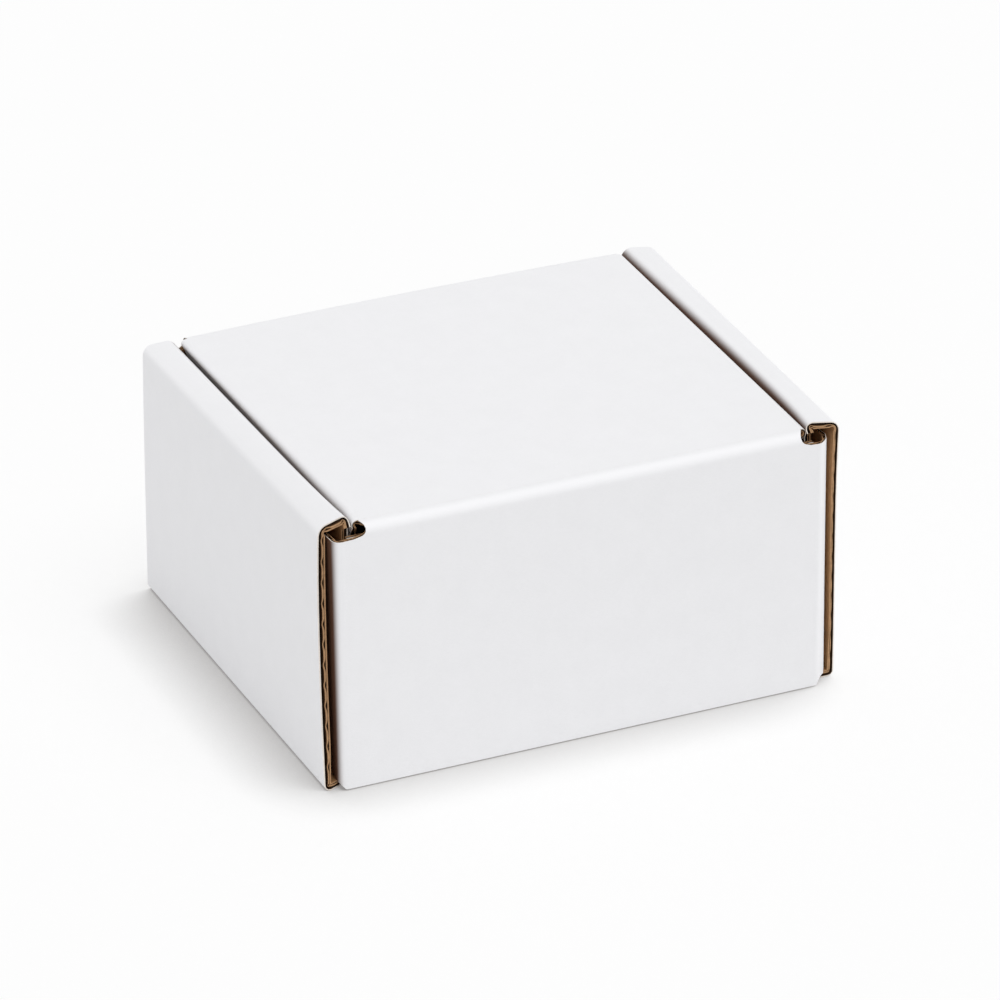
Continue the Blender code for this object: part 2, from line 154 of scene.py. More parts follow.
class BoxSettings(bpy.types.PropertyGroup):
    """The folded box. All but the roll's inner radius and the foot radius are the part's sizes."""

    outer_width: length_of("Width", "Across the two outer side walls", 0.112)
    tray_depth: length_of("Depth", "Side walls' front edges to the back wall", 0.090)
    side_height: length_of("Height", "Floor to the top of the rolled side walls", 0.056)
    crease_radius: length_of("Crease radius", "Outer radius of a plain crease", 0.0018)
    front_crease_radius: length_of(
        "Front crease radius", "Outer radius from the lid to the front flap", 0.0022)
    lid_edge_radius: length_of(
        "Lid edge radius", "Outer radius from the lid to its dust flaps", 0.0017)
    roll_outer_radius: length_of("Roll outer radius", "Outer edge of a rolled side wall", 0.0024)
    roll_inner_radius: length_of("Roll inner radius", "Inner edge of a rolled side wall", 0.0016)
    roll_slope: angle_of("Roll slope", "Rise of a rolled wall's top towards the lid", 10.0)
    foot_radius: length_of("Foot radius", "Outer radius from the bottom to a side wall", 0.0013)
    ear_radius: length_of("Ear fold radius", "Outer radius from the front flap to its ears", 0.0018)


class SpringSettings(bpy.types.PropertyGroup):
    """How far the folded board springs from its ideal place, as the photographed box does."""

    left_foot_front: spring_of("Left foot front", (-0.15, -2.2, 0.0))
    left_foot_back: spring_of("Left foot back", (-0.9, 0.0, 0.0))
    left_top_front: spring_of("Left roll outside, front", (0.85, 1.9, 1.0))
    left_top_back: spring_of("Left roll outside, back", (-0.65, 0.0, 0.2))
    left_inner_front: spring_of("Left roll inside, front", (0.0, 1.9, 1.6))
    left_inner_back: spring_of("Left roll inside, back", (-0.93, 0.0, -0.8))
    right_foot_front: spring_of("Right foot front", (-0.85, 0.0, 0.0))
    right_foot_back: spring_of("Right foot back", (0.0, 0.0, 0.0))
    right_top_front: spring_of("Right roll outside, front", (0.0, 0.8, 1.6))
    right_top_back: spring_of("Right roll outside, back", (1.4, 0.0, 0.05))
    right_inner_front: spring_of("Right roll inside, front", (-0.6, 0.8, 1.6))
    right_inner_back: spring_of("Right roll inside, back", (0.7, 0.0, 0.05))
    lid_left_front: spring_of("Lid left, front", (0.0, 0.0, 1.1))
    lid_left_back: spring_of("Lid left, back", (-1.6, 0.0, 0.4))
    lid_right_front: spring_of("Lid right, front", (0.8, 0.0, 1.1))
    lid_right_back: spring_of("Lid right, back", (1.08, 0.0, 0.4))
    lid_crown: length_of("Lid crown", "Extra rise of the lid's back edge in its middle", 0.0005)
    lid_corner: length_of("Lid corner", "How far the lid's left front corner spreads", 0.00105)
    flap_foot_left: length_of(
        "Flap foot left", "How far the front flap's foot stands out at its left", 0.0019)
    flap_foot_right: length_of(
        "Flap foot right", "How far the front flap's foot stands out at its right", 0.00115)
    flap_left: length_of("Flap left", "How far the fold into the left ear draws in", 0.00005)
    flap_right: length_of(
        "Flap right", "How far the fold into the right ear draws in, at its top", 0.00145)
    flap_right_foot: length_of(
        "Flap right foot", "How much further that fold draws in at its foot", 0.00075)


class StageSettings(bpy.types.PropertyGroup):
    """The floor, the light and the camera."""

    floor: colour_of("Floor", "Colour of the floor", "#FEFEFE")
    shadow: colour_of("Contact shadow", "Colour of the floor close beside the box", "#6E6764")
    glow: share_of("Floor evenness", "Share of the floor's brightness that no shadow dims", 0.7)
    world: number_of("World", "Strength of the even light from all round", 0.70)
    lamp: number_of("Lamp", "Strength of the large soft lamp above", 0.91)
    lens: number_of("Lens", "Focal length on a 36 mm sensor, in millimetres", 293.7, low=1.0)
    distance: length_of("Camera distance", "Camera to the middle of the box", 1.6384, 4)
    yaw: angle_of("Camera turn", "Turn of the view from +Y towards +X", 23.649)
    pitch: angle_of("Camera pitch", "Fall of the view below the horizon", 27.644)
    roll: angle_of("Camera roll", "Turn of the camera about its view", -0.159)
    shift_right: length_of(
        "Aim right", "Middle of the box, right of the view's middle", -0.001528, 6)
    shift_up: length_of("Aim up", "Middle of the box, above the view's middle", -0.001955, 6)


SEAM = 0.0003                   # a side chain starts this far inside the panel that carries it
FOLD_STEPS = 12                 # rows across a right-angled fold
WAVE_STEPS = 12                 # samples of one wave of the medium
LONG_STEP = 0.006               # largest spacing of rows and columns
SAME = 2e-6                     # rows closer than this are one row
GAP_SHADE_POWER = 4.0                 # how the painted shade of a gap grows with the sine of the turn into it
GLUE_LINE = 0.00006             # dark line between the medium and the kraft liner
CREST_POWER = 2.5               # how narrow the flutes' crests are beside their troughs
CREST_THINNING = 0.4            # share of the medium's thickness lost at a crest
SHARP_ANGLE = radians(32.0)     # faces that meet at more than this have a sharp edge
BACK_CRUSH = 0.75               # share of the thickness lost in the lid's back crease
CREASE_CRUSH = 0.45             # the same in the front crease
ROLL_CRUSH = 0.3                # the same in the folds of the side walls
WALL_WAVE = 0.25                # share of the flutes' height left in the side walls
CREASE_WAVE = 0.1               # the same in the front crease
STRAND_DRAW = 0.0003            # how far the die pushed the flutes' crests back from the cut edge

# Clearances and small sizes. They are the part's, but for LID_TONGUE and EAR_FOOT_RISE, which are
# smaller here, and for LID_GAP_SHADE_FROM, TONGUE_DRAW and CHAMFER_START, which only the looks have.
LID_DROP = 0.0004               # lid's top face below the top of the rolled side walls
SHOULDER_DROP = 0.0031          # front and back walls' shoulders below the lid's top face
EAR_ROOM = 0.0012               # outer side wall to the ear beside it
PIECE_GAP = 0.0003              # front wall's side to the ear beside it
BACK_ROOM = 0.0003              # outer side wall to the back corner flap beside it
BOARD_GAP = 0.0001              # between two layers that are pressed together
LID_ROOM = 0.0006               # rolled wall to the lid
STAND_OFF = 0.0004              # front flap's inner face to the tray's front wall
END_ROOM = 0.0006               # ends of inner walls and dust flaps to the front and back walls
TAB_ROOM = 0.0003               # tab to the sides of its slot
FLOOR_ROOM = 0.0003             # feet of the tabs and of the front flap above the floor
SLIT = 0.0004                   # die-cut slit between a panel and the crease beside it
CORNER_FLAP_LENGTH = 0.022
CORNER_FLAP_FOOT = 0.003        # crease's lower end above the floor
CORNER_FLAP_HEAD = 0.0045       # crease's upper end below the wall's shoulder
CORNER_FLAP_TAPER = 0.004
CORNER_FLAP_ROUNDING = 0.003
DUST_FLAP_DEPTH = 0.024
DUST_FLAP_TAPER = 0.003
LID_GAP_SHADE_FROM = 0.9              # heading from which the lid's sides take the painted gap shade as they turn into their gaps
DUST_FLAP_ROUNDING = 0.006
LID_TONGUE = 0.0001             # plain cut edge of the lid behind each dust flap
TONGUE_DRAW = 0.0019            # how far that edge lies inside the dust flap's face
TAB_LENGTH = 0.012
TAB_SPACING = 0.044
TAB_ROUNDING = 0.0006
NOTCH_DEPTH = 0.0005            # flap's upper edge beside the lid, below the crease
EAR_LENGTH = 0.024
EAR_FOOT_RISE = 0.0013
EAR_FOOT_TAPER = 0.011
EAR_HEAD_TAPER = 0.0015
EAR_ROUNDING = 0.007
CHAMFER_START = 0.35            # sine of the way round the ear's fold at which its foot is cut off

# Where the photographed box springs and where its board opens or is crushed
ROLL_END_POWER = 8              # how fast the roll's inner edge turns towards the lid at its front
LID_CORNER_REACH = 0.005        # length over which the lid's front corner spreads
LID_CORNER_INSIDE = 0.8         # share of the lid's half width that stays when its corner spreads
FOOT_POWER = 5                  # how near the roll a side wall's foot keeps its spring sideways
BOW_POWER = 3                   # how fast that spring fades lengthways
FLARE_FOOT = (0.006, 0.012)     # where the flare sets in, along the side wall's path
FLARE_HEAD = (0.002, 0.008)     # where it fades on that path, past the wall's height
FLARE_FRONT = (0.001, 0.012)    # and where it fades behind the wall's front edge
FLAP_CRUSH_DROP = 0.004         # height below the shoulder where the flap's corner crush sets in
LID_CRUSH_DROP = 0.006          # the same for the lid
LID_CRUSH_REACH = 0.004         # and how far behind the tray's front it ends


def places():
    """Where the panels lie, worked out from the settings as the part's source does."""
    box = bpy.context.scene.mailer_box
    board = bpy.context.scene.mailer_board.thickness
    at = SimpleNamespace(board=board, crease=box.crease_radius, lid_edge=box.lid_edge_radius,
                         front_crease=box.front_crease_radius, ear_radius=box.ear_radius)
    at.depth = box.tray_depth
    at.height = box.side_height
    at.half_width = box.outer_width / 2
    at.lid_top = box.side_height - LID_DROP
    at.shoulder = at.lid_top - SHOULDER_DROP
    at.ear_face = at.half_width - board - EAR_ROOM
    at.front_half = at.ear_face - board - PIECE_GAP
    at.back_half = at.half_width - board - BACK_ROOM
    at.inner_face = at.front_half - board - BOARD_GAP
    at.roll_edge = at.inner_face - board
    at.lid_half = at.roll_edge - LID_ROOM
    at.flap_front = -(box.tray_depth + board + STAND_OFF) / 2
    at.tray_front = at.flap_front + board + STAND_OFF
    at.tray_back = at.tray_front + box.tray_depth
    return at


def fold(radius, angle=pi / 2):
    """A fold of a path: its length on the white face and the angle that it turns."""
    return radius * angle, angle


def follow(path, along):
    """Points of a path of flat runs and folds, at distances along its white face.

    A flat run goes straight on. A fold of length L and angle A is an arc of radius L / A about a
    centre on the kraft side: over it the heading t grows evenly, and the point moves by
    (L / A) * (sin t - sin t0) out and (L / A) * (cos t - cos t0) up. Returns out, up, the heading
    below the first one, and how deep in a fold the point is, as sin squared of its share.
    """
    out = np.zeros_like(along)
    up = np.zeros_like(along)
    heading = np.zeros_like(along)
    folded = np.zeros_like(along)
    start = 0.0
    angle = 0.0
    for length, bend in path:
        run = np.clip(along - start, 0.0, length)
        if bend:
            radius = length / bend
            here = angle + run / radius
            out += radius * (np.sin(here) - sin(angle))
            up += radius * (np.cos(here) - cos(angle))
            heading += run / radius
            folded += np.sin(pi * run / length) ** 2
        else:
            out += run * cos(angle)
            up -= run * sin(angle)
        start += length
        angle += bend
    return out, up, heading, folded


def rows_needed(ribbon, across_flutes):
    """Distances along a ribbon at which it has a row: its outline's own rows, even steps through
    each fold, steps of a wave where the flutes cross the path, and no gap above LONG_STEP."""
    pitch = bpy.context.scene.mailer_board.flute_pitch
    first, last = ribbon.rows[0][0], ribbon.rows[-1][0]
    marks = [row[0] for row in ribbon.rows]
    start = 0.0
    for length, bend in ribbon.chain.path:
        if bend:
            steps = max(2, round(FOLD_STEPS * bend / (pi / 2)))
            marks += list(np.linspace(start, start + length, steps + 1))
        else:
            marks.append(start)
        start += length
    step = pitch / WAVE_STEPS if across_flutes else LONG_STEP
    marks += list(np.linspace(first, last, int((last - first) / step) + 2))
    marks = np.unique(np.clip(marks, first, last))
    keep = np.diff(marks) > SAME
    return np.append(marks[:-1][keep], last)


def blank_spots(ribbon, wavy):
    """The grid of a ribbon: distances along and across, and the place of each point on the blank.

    Each row runs evenly from its low to its high end. wavy asks for enough points to draw a wave.
    """
    chain = ribbon.chain
    along = rows_needed(ribbon, wavy and not chain.flutes_along)
    marks, lows, highs = np.array(ribbon.rows, float).T
    low = np.interp(along, marks, lows)
    high = np.interp(along, marks, highs)
    pitch = bpy.context.scene.mailer_board.flute_pitch
    step = pitch / WAVE_STEPS if wavy and chain.flutes_along else LONG_STEP
    columns = int(np.max(high - low) / step) + 2
    share = np.linspace(0.0, 1.0, columns)
    if wavy and not chain.flutes_along:
        draw = STRAND_DRAW * crest_share(chain.blank[0] + along)
        low = low + draw
        high = high - draw
    across = low[:, None] + (high - low)[:, None] * share
    along = np.broadcast_to(along[:, None], across.shape)
    x0, y0, side = chain.blank
    if chain.flutes_along:
        blank = np.stack([x0 + side * across, y0 + along], -1)
    else:
        blank = np.stack([side * (x0 + along), y0 + across], -1)
    return along, across, blank


def crest_share(x):
    """Height of the medium's wave at a place x across the flutes, from 0 to 1.

    A raised cosine of x over the pitch, to the power CREST_POWER, so that the crests under the white
    liner are narrow and the troughs on the kraft liner are broad.
    """
    pitch = bpy.context.scene.mailer_board.flute_pitch
    return (0.5 + 0.5 * np.cos(2 * pi * x / pitch)) ** CREST_POWER


def flute_wave(x, wave):
    """Depth and thickness of the medium below the white face, at a place x across the flutes,
    where a share of the wave's height is left. The medium thins at the crests."""
    board = bpy.context.scene.mailer_board
    crest = crest_share(x)
    thick = board.medium * (1 - CREST_THINNING * crest)
    high = board.liner + thick / 2
    low = board.thickness - board.liner - GLUE_LINE - thick / 2
    return low + (high - low) * crest * wave, thick


def layer_depths(layer, x, wave):
    """Depths of a layer's surfaces below the white face, at places x across the flutes."""
    board = bpy.context.scene.mailer_board
    flat = np.zeros_like(x)
    if layer == WHITE:
        return [flat, flat + board.top_ply, flat + board.liner]
    if layer == KRAFT:
        return [flat + board.thickness - board.liner, flat + board.thickness]
    middle, thick = flute_wave(x, wave)
    return [middle - thick / 2, middle + thick / 2]


def smooth(value, start, end):
    """A smooth step from 0 at start to 1 at end: 3 t^2 - 2 t^3 of the share t between them."""
    share = np.clip((value - start) / (end - start), 0.0, 1.0)
    return share * share * (3 - 2 * share)


def corner_spring(name, back):
    """How far points spring towards each axis, between a front and a back corner."""
    spring = bpy.context.scene.mailer_spring
    front = np.array(getattr(spring, name + "_front"))
    rear = np.array(getattr(spring, name + "_back"))
    return front + (rear - front) * back[..., None]


def by_side(right, name, back):
    """The same on both sides of the box: right says which points lie on the right, and {} in the
    name stands for the side."""
    return np.where(right[..., None], corner_spring(name.format("right"), back),
                    corner_spring(name.format("left"), back))


def sprung(points, group):
    """Points moved from the ideal box to the sprung one.

    A side wall moves with its foot and with its roll. With u the height as a share, p FOOT_POWER
    and q BOW_POWER, its foot's spring fades as 1 - u^p sideways and (1 - u)^q lengthways, and its
    roll's grows as u^p, u^q and evenly upwards. The rest rises with its height, by an amount that
    runs evenly from front to back, and the lid's sides spread. The front flap swings out towards
    its foot, and the folds into its ears draw in.
    """
    at = places()
    spring = bpy.context.scene.mailer_spring
    x, y, z = points[..., 0], points[..., 1], points[..., 2]
    up = np.clip(z / at.height, 0.0, 1.0)
    back = np.clip((y - at.tray_front) / at.depth, 0.0, 1.0)
    right = x > 0
    near_top = smooth(z, at.shoulder, at.height)
    moved = points.copy()
    if group == "side":
        inner = np.clip((at.half_width - np.abs(x)) / (at.half_width - at.roll_edge), 0.0, 1.0)
        outer = smooth(np.abs(x), at.inner_face + TAB_ROOM, at.half_width - at.board)
        foot = by_side(right, "{}_foot", back)
        top = by_side(right, "{}_top", back)
        edge = by_side(right, "{}_inner", back)
        turned_in = 1 - (1 - back) ** ROLL_END_POWER
        edge[..., 0] = by_side(right, "{}_inner", turned_in)[..., 0]
        roll = top + (edge - top) * inner[..., None]
        moved[..., 0] += outer * (foot[..., 0] * (1 - up ** FOOT_POWER)
                                  + roll[..., 0] * up ** FOOT_POWER)
        moved[..., 0] += (1 - outer) * roll[..., 0] * near_top
        moved[..., 1] += outer * (foot[..., 1] * (1 - up) ** BOW_POWER
                                  + roll[..., 1] * up ** BOW_POWER)
        moved[..., 1] += (1 - outer) * roll[..., 1] * near_top
        moved[..., 2] += up * roll[..., 2]
        return moved
    side = by_side(right, "lid_{}", back)
    reach = np.clip(np.abs(x) / at.lid_half, 0.0, 1.0)
    spread = side[..., 0] * reach * near_top
    corner = 1 - smooth(y, at.tray_front - at.board, at.tray_front + LID_CORNER_REACH)
    spread -= np.where(right, 0.0, spring.lid_corner) * corner * near_top * smooth(
        reach, LID_CORNER_INSIDE, 1.0)
    moved[..., 0] += spread
    moved[..., 2] += up * (side[..., 2] + spring.lid_crown * back * (1 - reach ** 2))
    if group == "flap":
        low = 1 - z / at.height
        share = np.clip(0.5 + 0.5 * x / at.lid_half, 0.0, 1.0)
        moved[..., 1] -= low * (spring.flap_foot_left * (1 - share) + spring.flap_foot_right * share)
        draw = np.where(right, -spring.flap_right - spring.flap_right_foot * low, spring.flap_left)
        moved[..., 0] += (draw * smooth(np.abs(x), at.lid_half - at.board, flap_half(at))
                          * (1 - smooth(y, at.tray_front - at.board, at.tray_front + at.board)))
    return moved


def board_scale(group, along, points):
    """The board's thickness at some points, as a share of its plain thickness.

    It opens up or narrows at the front cut edge of the side walls, by their flare, and is crushed
    round the holes at the lid's front corners.
    """
    at = places()
    board = bpy.context.scene.mailer_board
    y, z = points[..., 1], points[..., 2]
    if group == "side":
        wall = smooth(along, *FLARE_FOOT)
        wall *= 1 - smooth(along, *(at.height + past for past in FLARE_HEAD))
        wall *= 1 - smooth(y, *(at.tray_front + behind for behind in FLARE_FRONT))
        return 1 + wall * np.where(points[..., 0] > 0, board.flare_right, board.flare_left)
    if group == "flap":
        return 1 - board.corner_crush * smooth(z, at.shoulder - FLAP_CRUSH_DROP, at.shoulder)
    front = 1 - smooth(y, at.tray_front, at.tray_front + LID_CRUSH_REACH)
    return 1 - board.corner_crush * front * smooth(z, at.shoulder - LID_CRUSH_DROP, at.shoulder)


def ribbon_points(chain, along, across, depths):
    """Places of a ribbon's points at several depths below its white face.

    A point is the path's point, moved across by the crease's direction and inward by its depth
    against the face's outward direction. In a fold the depth shrinks by the crush.
    """
    origin, direction, out_way = (np.array(part, float) for part in chain[:3])
    up_way = np.cross(direction, out_way)
    out, up, heading, folded = follow(chain.path, along)
    outward = out_way * np.sin(heading)[..., None] + up_way * np.cos(heading)[..., None]
    face = (origin + direction * across[..., None] + out_way * out[..., None]
            + up_way * up[..., None])
    scale = (1 - chain.crush * folded) * board_scale(chain.group, along, face)
    return [sprung(face - outward * (depth * scale)[..., None], chain.group) for depth in depths]


def shell(levels, marks, finishes):
    """A closed shell of stacked grids: top, bottom, and a band round the rim between each two.

    marks are each point's place on the blank, its share of the painted shade of a gap and its share
    of the painted highlight of a crease. finishes names the material of the top, of each band, and
    of the bottom.
    """
    rows, columns = levels[0].shape[:2]
    size = rows * columns
    index = np.arange(size).reshape(rows, columns)
    top = np.stack([index[:-1, :-1], index[:-1, 1:], index[1:, 1:], index[1:, :-1]], -1)
    top = top.reshape(-1, 4)
    loop = np.concatenate([index[0, :-1], index[:-1, -1], index[-1, :0:-1], index[:0:-1, 0]])
    following = np.roll(loop, -1)
    faces = [top]
    slots = [np.full(len(top), finishes[0])]
    for level in range(len(levels) - 1):
        high, low = level * size, (level + 1) * size
        faces.append(np.stack([loop + high, loop + low, following + low, following + high], -1))
        slots.append(np.full(len(loop), finishes[level + 1]))
    faces.append(top[:, ::-1] + (len(levels) - 1) * size)
    slots.append(np.full(len(top), finishes[-1]))
    spots = np.concatenate([level.reshape(-1, 3) for level in levels])
    marks = np.tile(marks.reshape(-1, 4), (len(levels), 1))
    return spots, np.concatenate(faces), np.concatenate(slots), marks


FINISHES = {WHITE: (WHITE, WHITE_CUT, WHITE_CUT, MEDIUM), KRAFT: (MEDIUM, BROWN_CUT, KRAFT),
            MEDIUM: (MEDIUM, BROWN_CUT, MEDIUM)}


def layer_shells(ribbons, layer):
    """The shells of one layer of some ribbons."""
    shells = []
    for ribbon in ribbons:
        along, across, blank = blank_spots(ribbon, layer == MEDIUM)
        heading, folded = follow(ribbon.chain.path, along)[2:]
        wave = ribbon.chain.wave * (1 - np.clip(2 * ribbon.chain.crush * folded, 0.0, 1.0))
        depths = layer_depths(layer, blank[..., 0], wave)
        levels = ribbon_points(ribbon.chain, along, across, depths)
        # painted shade, growing as the white face turns into its gap
        gap = np.sin(np.clip(heading - ribbon.chain.gap_from, 0.0, pi / 2)) ** GAP_SHADE_POWER
        marks = np.concatenate([blank, gap[..., None], folded[..., None]], -1)
        shells.append(shell(levels, marks, FINISHES[layer]))
    return shells


def make_piece(name, shells):
    """One object from shells, with the blank's places as its UV map, in metres."""
    spots, faces, slots, marks = [], [], [], []
    count = 0
    for shell_spots, shell_faces, shell_slots, shell_marks in shells:
        spots.append(shell_spots)
        faces.append(shell_faces + count)
        slots.append(shell_slots)
        marks.append(shell_marks)
        count += len(shell_spots)
    spots, faces, slots, marks = (np.concatenate(part) for part in (spots, faces, slots, marks))
    mesh = bpy.data.meshes.new(name)
    mesh.vertices.add(len(spots))
    mesh.vertices.foreach_set("co", spots.astype(np.float32).ravel())
    mesh.loops.add(faces.size)
    mesh.loops.foreach_set("vertex_index", faces.astype(np.int32).ravel())
    mesh.polygons.add(len(faces))
    mesh.polygons.foreach_set("loop_start", np.arange(0, faces.size, 4, dtype=np.int32))
    mesh.polygons.foreach_set("material_index", slots.astype(np.int32))
    mesh.update(calc_edges=True)
    blank = mesh.uv_layers.new(name="blank")
    blank.data.foreach_set("uv", marks[faces.ravel(), :2].astype(np.float32).ravel())
    # attributes for the painted gap shade and the painted crease highlight
    for column, mark in ((2, "gap"), (3, "crease")):
        shares = mesh.attributes.new(mark, "FLOAT", "POINT")
        shares.data.foreach_set("value", marks[:, column].astype(np.float32))
    mesh.validate()
    mesh.shade_smooth()
    mesh.set_sharp_from_angle(angle=SHARP_ANGLE)
    for material in (white_liner(), *(brown_paper(*paper) for paper in BROWN_PAPERS)):
        mesh.materials.append(material)
    piece = bpy.data.objects.new(name, mesh)
    bpy.context.scene.collection.objects.link(piece)
    return piece


def mirrored(ribbon):
    """The same ribbon on the other side of the box. The crease runs the other way there, so that
    the white face still looks outward. The twin's places on the blank are true in X only: in Y
    they run the other way from the same start, which nothing but the grain of the paper shows."""
    chain = ribbon.chain
    x, y, z = chain.origin
    ax, ay, az = chain.across
    ox, oy, oz = chain.out
    x0, y0, side = chain.blank
    twin = chain._replace(origin=(-x, y, z), across=(ax, -ay, -az), out=(-ox, oy, oz),
                          blank=(x0, y0, -side))
    return Ribbon(twin, [(along, -high, -low) for along, low, high in ribbon.rows])


def both_sides(ribbons):
    """Some ribbons of the right side, and their twins on the left."""
    return ribbons + [mirrored(ribbon) for ribbon in ribbons]


def rounded_end(low, high, end, radius, start, low_taper=0.0, high_taper=0.0, steps=8):
    """Rows of a panel from start to end whose two last corners are quarter rounds.

    Over the last radius r the sides draw in by r - sqrt(r^2 - s^2), with s the way into it. Each
    side also leans in evenly by its taper.
    """
    reach = end - start
    rows = [(start, low, high)]
    for step in range(steps + 1):
        into = radius * sin(pi / 2 * step / steps)
        draw = radius - sqrt(max(radius ** 2 - into ** 2, 0.0))
        along = end - radius + into
        share = (along - start) / reach
        rows.append((along, low + low_taper * share + draw, high - high_taper * share - draw))
    return rows


def run_starts(path):
    """Distances along a path at which its runs and folds start, and its whole length."""
    return np.concatenate([[0.0], np.cumsum([part[0] for part in path])])


def centre_path(at):
    """Path down the middle of the sheet: front wall, bottom, back wall, lid and front flap."""
    front = at.front_crease
    return [
        (at.shoulder - at.crease, 0),
        fold(at.crease),
        (at.depth - 2 * at.crease, 0),
        fold(at.crease),
        (at.lid_top - 2 * at.crease, 0),
        fold(at.crease),
        (at.tray_back - at.crease - at.flap_front - front, 0),
        fold(front),
        (at.lid_top - front - FLOOR_ROOM, 0),
    ]


def centre_chain(at):
    """The chain of the middle panels, with the distance along it at which each run starts."""
    path = centre_path(at)
    chain = Chain((0, at.tray_front, at.shoulder), (-1, 0, 0), (0, 0, -1), path, True,
                  (0.0, 0.0, -1))
    return chain, run_starts(path)


def span(chain, *rows):
    """A ribbon of the middle chain, alike to both sides: rows are (along, half width)."""
    return Ribbon(chain, [(along, -half, half) for along, half in rows])


def tray_centre(at):
    """Front wall, bottom, back wall and lid, between the creases of their side parts."""
    chain, starts = centre_chain(at)
    bottom, back_fold, back_wall, top_fold, lid = starts[2:7]
    front = at.front_half - at.crease
    back = at.back_half - at.crease
    foot, head = CORNER_FLAP_FOOT, CORNER_FLAP_HEAD
    # front wall, from its shoulder down
    low = at.shoulder - foot
    ribbons = [
        span(chain, (0, front), (head, front)),
        span(chain, (head, front - SEAM), (low, front - SEAM)),
        span(chain, (low, front), (bottom, front)),
    ]
    # bottom, drawn in at the slots for the tabs
    far = at.inner_face + TAB_ROOM
    near = at.inner_face - at.board - TAB_ROOM
    start = bottom
    for first, last in slot_ends(at):
        first += bottom - (at.tray_front + at.crease)
        last += bottom - (at.tray_front + at.crease)
        ribbons.append(span(chain, (start, far), (first, far)))
        ribbons.append(span(chain, (first, near), (last, near)))
        start = last
    ribbons.append(span(chain, (start, far), (back_fold, far)))
    # back wall, up to the lid's crease
    first = back_wall + foot - at.crease
    last = back_wall + at.shoulder - head - at.crease
    shoulder = back_wall + at.shoulder - at.crease
    slope = top_fold - shoulder
    tongue = at.lid_half - TONGUE_DRAW
    ribbons += [
        span(chain, (back_fold, back), (first, back)),
        span(chain, (first, back - SEAM), (last, back - SEAM)),
        span(chain, (last, back), (shoulder, back)),
        span(chain._replace(crush=BACK_CRUSH), (shoulder, at.lid_half + slope),
             (top_fold, at.lid_half - TONGUE_DRAW / 2), (lid, tongue), (lid + LID_TONGUE, tongue)),
    ]
    # lid
    half = at.lid_half - at.lid_edge
    near, far = dust_flap_ends(at)
    ribbons.append(span(chain, (lid + near, half - SEAM), (lid + far, half - SEAM)))
    return ribbons


def slot_ends(at):
    """Where the slots in the bottom begin and end, front to back."""
    middle = (at.tray_front + at.tray_back) / 2
    half = TAB_LENGTH / 2 + TAB_ROOM
    return [(middle + side * TAB_SPACING / 2 - half, middle + side * TAB_SPACING / 2 + half)
            for side in (-1, 1)]


def dust_flap_ends(at):
    """Where a dust flap begins and ends along the lid, from the back."""
    length = at.tray_back - at.crease - at.flap_front - at.front_crease
    return LID_TONGUE, length - SLIT


def side_wall(at):
    """Outer wall, rolled top and inner wall of the right side, with a strip of the bottom."""
    box = bpy.context.scene.mailer_box
    slope = box.roll_slope
    outer, inner = box.roll_outer_radius, box.roll_inner_radius
    seam = at.inner_face + TAB_ROOM
    flat_top = (at.half_width - at.roll_edge) - outer * (1 - sin(slope))
    flat_top = (flat_top - inner * (1 + sin(slope))) / cos(slope)
    roll_foot = at.height - outer * cos(slope) - flat_top * sin(slope)
    roll_foot -= inner * (1 - cos(slope))
    head = roll_foot + outer * cos(slope) + flat_top * sin(slope) - inner * cos(slope)
    path = [
        (at.half_width - box.foot_radius - seam, 0),
        fold(box.foot_radius),
        (roll_foot - box.foot_radius, 0),
        fold(outer, pi / 2 - slope),
        (flat_top, 0),
        fold(inner, pi / 2 + slope),
        (head, 0),
    ]
    y0 = at.shoulder - at.crease + at.crease * pi / 2 - (at.tray_front + at.crease)
    chain = Chain((seam, 0, 0), (0, 1, 0), (1, 0, 0), path, False, (seam, y0, 1), "side",
                  ROLL_CRUSH, pi - slope, WALL_WAVE)
    front, back = at.tray_front, at.tray_back
    end = at.board + END_ROOM
    wall = run_starts(path)[6]
    step = head - at.shoulder - END_ROOM
    foot = wall + head - at.board - TAB_ROOM
    tab_foot = wall + head - FLOOR_ROOM
    slit = at.back_half - at.crease + SLIT - seam
    back_line = back - at.crease
    ribbons = [
        Ribbon(chain, [(0, front, back_line), (slit, front, back_line)]),
        Ribbon(chain, [(slit, front, back), (wall, front, back), (wall + step / 3, front, back),
                       (wall + step, front + end, back - end), (foot, front + end, back - end)]),
    ]
    middle = (front + back) / 2
    for side in (-1, 1):
        low = middle + side * TAB_SPACING / 2 - TAB_LENGTH / 2
        rows = rounded_end(low, low + TAB_LENGTH, tab_foot, TAB_ROUNDING, foot)
        ribbons.append(Ribbon(chain, rows))
    return both_sides(ribbons)


def corner_flaps(at):
    """The corner flaps of the front and back walls, shut in between the side walls' layers."""
    length, taper = CORNER_FLAP_LENGTH - at.crease, CORNER_FLAP_TAPER
    foot, head = CORNER_FLAP_FOOT, at.shoulder - CORNER_FLAP_HEAD
    path = [(SEAM, 0), fold(at.crease), (length, 0)]
    start = SEAM + at.crease * pi / 2
    end = start + length
    back_wall = centre_chain(at)[1][4]
    x = at.front_half - at.crease - SEAM
    front = Chain((x, at.tray_front, 0), (0, 0, -1), (1, 0, 0), path, False, (x, at.shoulder, 1))
    x = at.back_half - at.crease - SEAM
    back = Chain((x, at.tray_back, 0), (0, 0, 1), (1, 0, 0), path, False,
                 (x, back_wall - at.crease, 1))
    rows = rounded_end(foot, head, end, CORNER_FLAP_ROUNDING, start, taper, taper)
    rows = [(0, foot, head)] + rows
    flipped = [(along, -high, -low) for along, low, high in rows]
    return both_sides([Ribbon(front, flipped), Ribbon(back, rows)])


